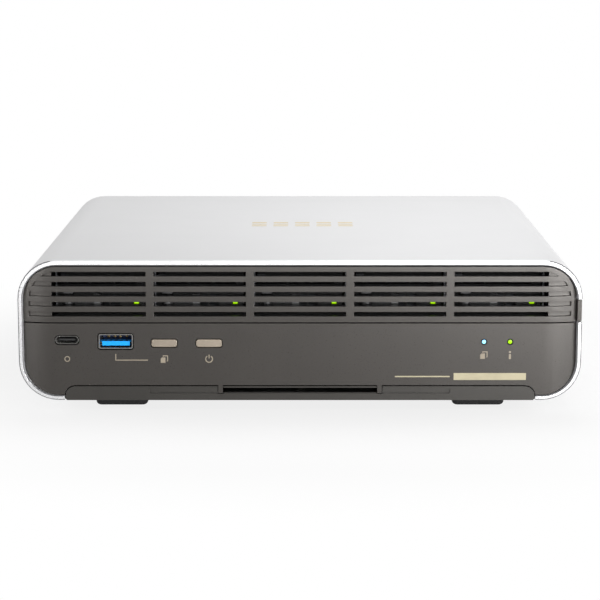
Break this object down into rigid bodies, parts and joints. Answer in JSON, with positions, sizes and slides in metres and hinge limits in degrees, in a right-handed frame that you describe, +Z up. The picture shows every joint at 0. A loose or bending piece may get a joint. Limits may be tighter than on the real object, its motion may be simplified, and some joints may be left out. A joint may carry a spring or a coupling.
{
  "type": "nas enclosure",
  "caption": "Low desktop network storage enclosure: bent metal sleeve, grille cover over a row of drive trays, front bezel with connectors and buttons, rear fans and ports.",
  "frame": {"origin": "middle of the footprint, on the surface that the feet stand on", "axes": "+X to the right seen from the front, the front faces -Y, +Z up"},
  "size_m": [0.215, 0.199, 0.06],
  "materials": {
    "shell": "fine satin silver white",
    "front_panel": "matte bronze grey, fine grain",
    "base": "matte bronze grey paint",
    "button": "champagne satin",
    "foot_rubber": "matte dark rubber",
    "black_plastic": "matte black",
    "tray_plastic": "dark grey, matte",
    "lever_plastic": "dark grey, satin",
    "sheet_steel": "zinc plated sheet",
    "connector_metal": "bright tinned metal",
    "rear_metal": "black powder coat",
    "screw_metal": "dark nickel",
    "blue_plastic": "satin blue",
    "green_lens": "lit clear lens",
    "blue_lens": "lit clear lens",
    "circuit_board": "green solder mask",
    "heat_sink": "bare extruded aluminium",
    "drive_metal": "anodised aluminium"
  },
  "bodies": {
    "enclosure": {"outer_shell": "shell", "base_plate": "base", "front_bezel": "front_panel", "rear_panel": "rear_metal", "foot_1": "foot_rubber", "foot_2": "foot_rubber", "foot_3": "foot_rubber", "foot_4": "foot_rubber", "rear_screw_1": "screw_metal", "rear_screw_2": "screw_metal", "rear_screw_3": "screw_metal", "rear_screw_4": "screw_metal", "power_switch": "black_plastic", "copy_switch": "black_plastic", "front_usb_a_shell": "connector_metal", "front_usb_a_tongue": "blue_plastic", "front_usb_c_shell": "connector_metal", "front_usb_c_tongue": "black_plastic", "status_light_pipe": "green_lens", "copy_light_pipe": "blue_lens", "front_board": "circuit_board", "drive_cage": "sheet_steel", "backplane_board": "circuit_board", "main_board": "circuit_board", "processor_heat_sink": "heat_sink", "fan_frame_1": "black_plastic", "fan_frame_2": "black_plastic", "power_jack": "black_plastic", "rear_usb_c_port": "connector_metal", "rear_usb_a_port": "connector_metal", "video_port": "connector_metal", "network_port_1": "connector_metal", "network_port_2": "connector_metal"},
    "cover": {"bay_cover": "front_panel"},
    "tray_1": {"drive_tray_1": "tray_plastic", "flash_drive_1": "drive_metal", "bay_light_pipe_1": "green_lens"},
    "tray_2": {"drive_tray_2": "tray_plastic", "flash_drive_2": "drive_metal", "bay_light_pipe_2": "green_lens"},
    "tray_3": {"drive_tray_3": "tray_plastic", "flash_drive_3": "drive_metal", "bay_light_pipe_3": "green_lens"},
    "tray_4": {"drive_tray_4": "tray_plastic", "flash_drive_4": "drive_metal", "bay_light_pipe_4": "green_lens"},
    "tray_5": {"drive_tray_5": "tray_plastic", "flash_drive_5": "drive_metal", "bay_light_pipe_5": "green_lens"},
    "lever_1": {"tray_lever_1": "lever_plastic"},
    "lever_2": {"tray_lever_2": "lever_plastic"},
    "lever_3": {"tray_lever_3": "lever_plastic"},
    "lever_4": {"tray_lever_4": "lever_plastic"},
    "lever_5": {"tray_lever_5": "lever_plastic"},
    "power_key": {"power_button": "button"},
    "copy_key": {"copy_button": "button"},
    "reset_key": {"reset_button": "black_plastic"},
    "rotor_1": {"fan_rotor_1": "tray_plastic"},
    "rotor_2": {"fan_rotor_2": "tray_plastic"}
  },
  "joints": [
    {"name": "cover_slide", "type": "slide", "parent": "enclosure", "child": "cover", "axis": [0, -1, 0], "range_m": [0, 0.16]},
    {"name": "tray_1_slide", "type": "slide", "parent": "enclosure", "child": "tray_1", "axis": [0, -1, 0], "range_m": [0, 0.12]},
    {"name": "tray_2_slide", "type": "slide", "parent": "enclosure", "child": "tray_2", "axis": [0, -1, 0], "range_m": [0, 0.12]},
    {"name": "tray_3_slide", "type": "slide", "parent": "enclosure", "child": "tray_3", "axis": [0, -1, 0], "range_m": [0, 0.12]},
    {"name": "tray_4_slide", "type": "slide", "parent": "enclosure", "child": "tray_4", "axis": [0, -1, 0], "range_m": [0, 0.12]},
    {"name": "tray_5_slide", "type": "slide", "parent": "enclosure", "child": "tray_5", "axis": [0, -1, 0], "range_m": [0, 0.12]},
    {"name": "lever_1_hinge", "type": "hinge", "parent": "tray_1", "child": "lever_1", "pos_m": [-0.0889, -0.0915, 0.04325], "axis": [0, 0, -1], "range_deg": [0, 70]},
    {"name": "lever_2_hinge", "type": "hinge", "parent": "tray_2", "child": "lever_2", "pos_m": [-0.0508, -0.0915, 0.04325], "axis": [0, 0, -1], "range_deg": [0, 70]},
    {"name": "lever_3_hinge", "type": "hinge", "parent": "tray_3", "child": "lever_3", "pos_m": [-0.0127, -0.0915, 0.04325], "axis": [0, 0, -1], "range_deg": [0, 70]},
    {"name": "lever_4_hinge", "type": "hinge", "parent": "tray_4", "child": "lever_4", "pos_m": [0.0254, -0.0915, 0.04325], "axis": [0, 0, -1], "range_deg": [0, 70]},
    {"name": "lever_5_hinge", "type": "hinge", "parent": "tray_5", "child": "lever_5", "pos_m": [0.0635, -0.0915, 0.04325], "axis": [0, 0, -1], "range_deg": [0, 70]},
    {"name": "power_press", "type": "slide", "parent": "enclosure", "child": "power_key", "axis": [0, 1, 0], "range_m": [0, 0.0008], "stiffness_N_per_m": 900},
    {"name": "copy_press", "type": "slide", "parent": "enclosure", "child": "copy_key", "axis": [0, 1, 0], "range_m": [0, 0.0008], "stiffness_N_per_m": 900},
    {"name": "reset_press", "type": "slide", "parent": "enclosure", "child": "reset_key", "axis": [0, -1, 0], "range_m": [0, 0.0008], "stiffness_N_per_m": 600},
    {"name": "fan_1_spin", "type": "hinge", "parent": "enclosure", "child": "rotor_1", "pos_m": [0.026, 0.0875, 0.037], "axis": [0, 1, 0], "continuous": true},
    {"name": "fan_2_spin", "type": "hinge", "parent": "enclosure", "child": "rotor_2", "pos_m": [0.0678, 0.0875, 0.037], "axis": [0, 1, 0], "continuous": true}
  ],
  "couplings": [
    {"joint": "tray_1_slide", "follows": "cover_slide", "ratio": 0.75},
    {"joint": "tray_2_slide", "follows": "cover_slide", "ratio": 0.75},
    {"joint": "tray_3_slide", "follows": "cover_slide", "ratio": 0.75},
    {"joint": "tray_4_slide", "follows": "cover_slide", "ratio": 0.75},
    {"joint": "tray_5_slide", "follows": "cover_slide", "ratio": 0.75},
    {"joint": "lever_1_hinge", "follows": "cover_slide", "rad_per_m": 7.6},
    {"joint": "lever_2_hinge", "follows": "cover_slide", "rad_per_m": 7.6},
    {"joint": "lever_3_hinge", "follows": "cover_slide", "rad_per_m": 7.6},
    {"joint": "lever_4_hinge", "follows": "cover_slide", "rad_per_m": 7.6},
    {"joint": "lever_5_hinge", "follows": "cover_slide", "rad_per_m": 7.6}
  ]
}
